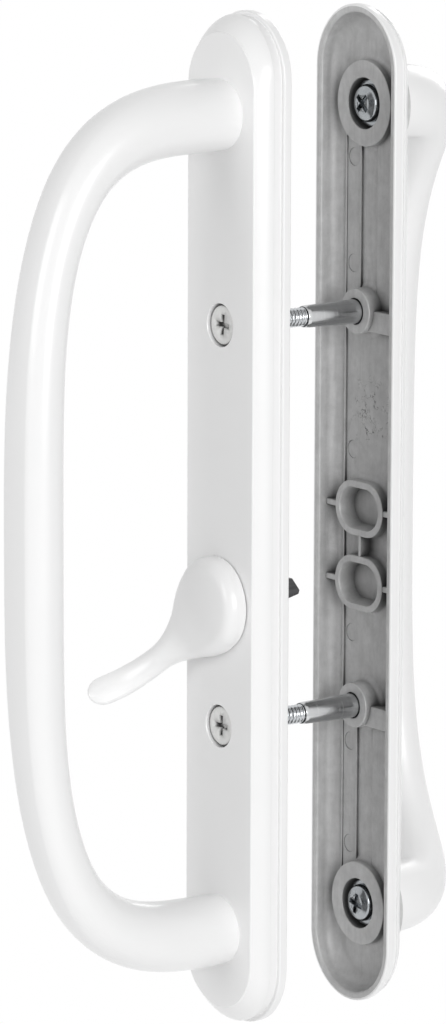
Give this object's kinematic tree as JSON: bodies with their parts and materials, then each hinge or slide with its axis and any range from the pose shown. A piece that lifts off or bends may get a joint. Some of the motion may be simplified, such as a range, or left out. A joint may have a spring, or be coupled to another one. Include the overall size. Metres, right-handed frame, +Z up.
{
  "type": "sliding patio door handle",
  "caption": "Handle set for a sliding patio door: a tall D-shaped inside pull with a latch lever, a bowed outside pull, and screws and posts that clamp the plates through the door.",
  "frame": {"origin": "midway between the two mounting screws, on the door-side face of the inside plate", "axes": "+X across the plates, to the right as seen from the room; +Y outwards through the door; +Z up along the plates"},
  "size_m": [0.0517, 0.1393, 0.2526],
  "materials": {
    "white_enamel": "satin white enamel on die-cast metal",
    "white_screw": "white painted head on a plated steel screw",
    "bright_steel": "polished",
    "zinc_steel": "bright zinc plate",
    "dark_steel": "dark oxide",
    "nylon": "natural nylon"
  },
  "bodies": {
    "handle_set": {"inside_plate": "white_enamel", "outside_plate": "white_enamel", "inside_pull": "white_enamel", "outside_pull": "white_enamel", "mounting_screw_upper": "white_screw", "mounting_screw_lower": "white_screw", "threaded_post_upper": "bright_steel", "threaded_post_lower": "bright_steel", "latch_washer": "nylon", "inside_pull_screw_upper": "zinc_steel", "inside_pull_washer_upper": "zinc_steel", "inside_pull_screw_lower": "zinc_steel", "inside_pull_washer_lower": "zinc_steel", "outside_pull_screw_upper": "zinc_steel", "outside_pull_washer_upper": "zinc_steel", "outside_pull_screw_lower": "zinc_steel", "outside_pull_washer_lower": "zinc_steel"},
    "latch": {"latch_lever": "white_enamel", "latch_spindle": "dark_steel", "latch_clip": "dark_steel"}
  },
  "joints": [
    {"name": "latch_turn", "type": "hinge", "parent": "handle_set", "child": "latch", "pos_m": [0, -0.005, -0.01905], "axis": [0, -1, 0], "range_deg": [0, 90]}
  ]
}
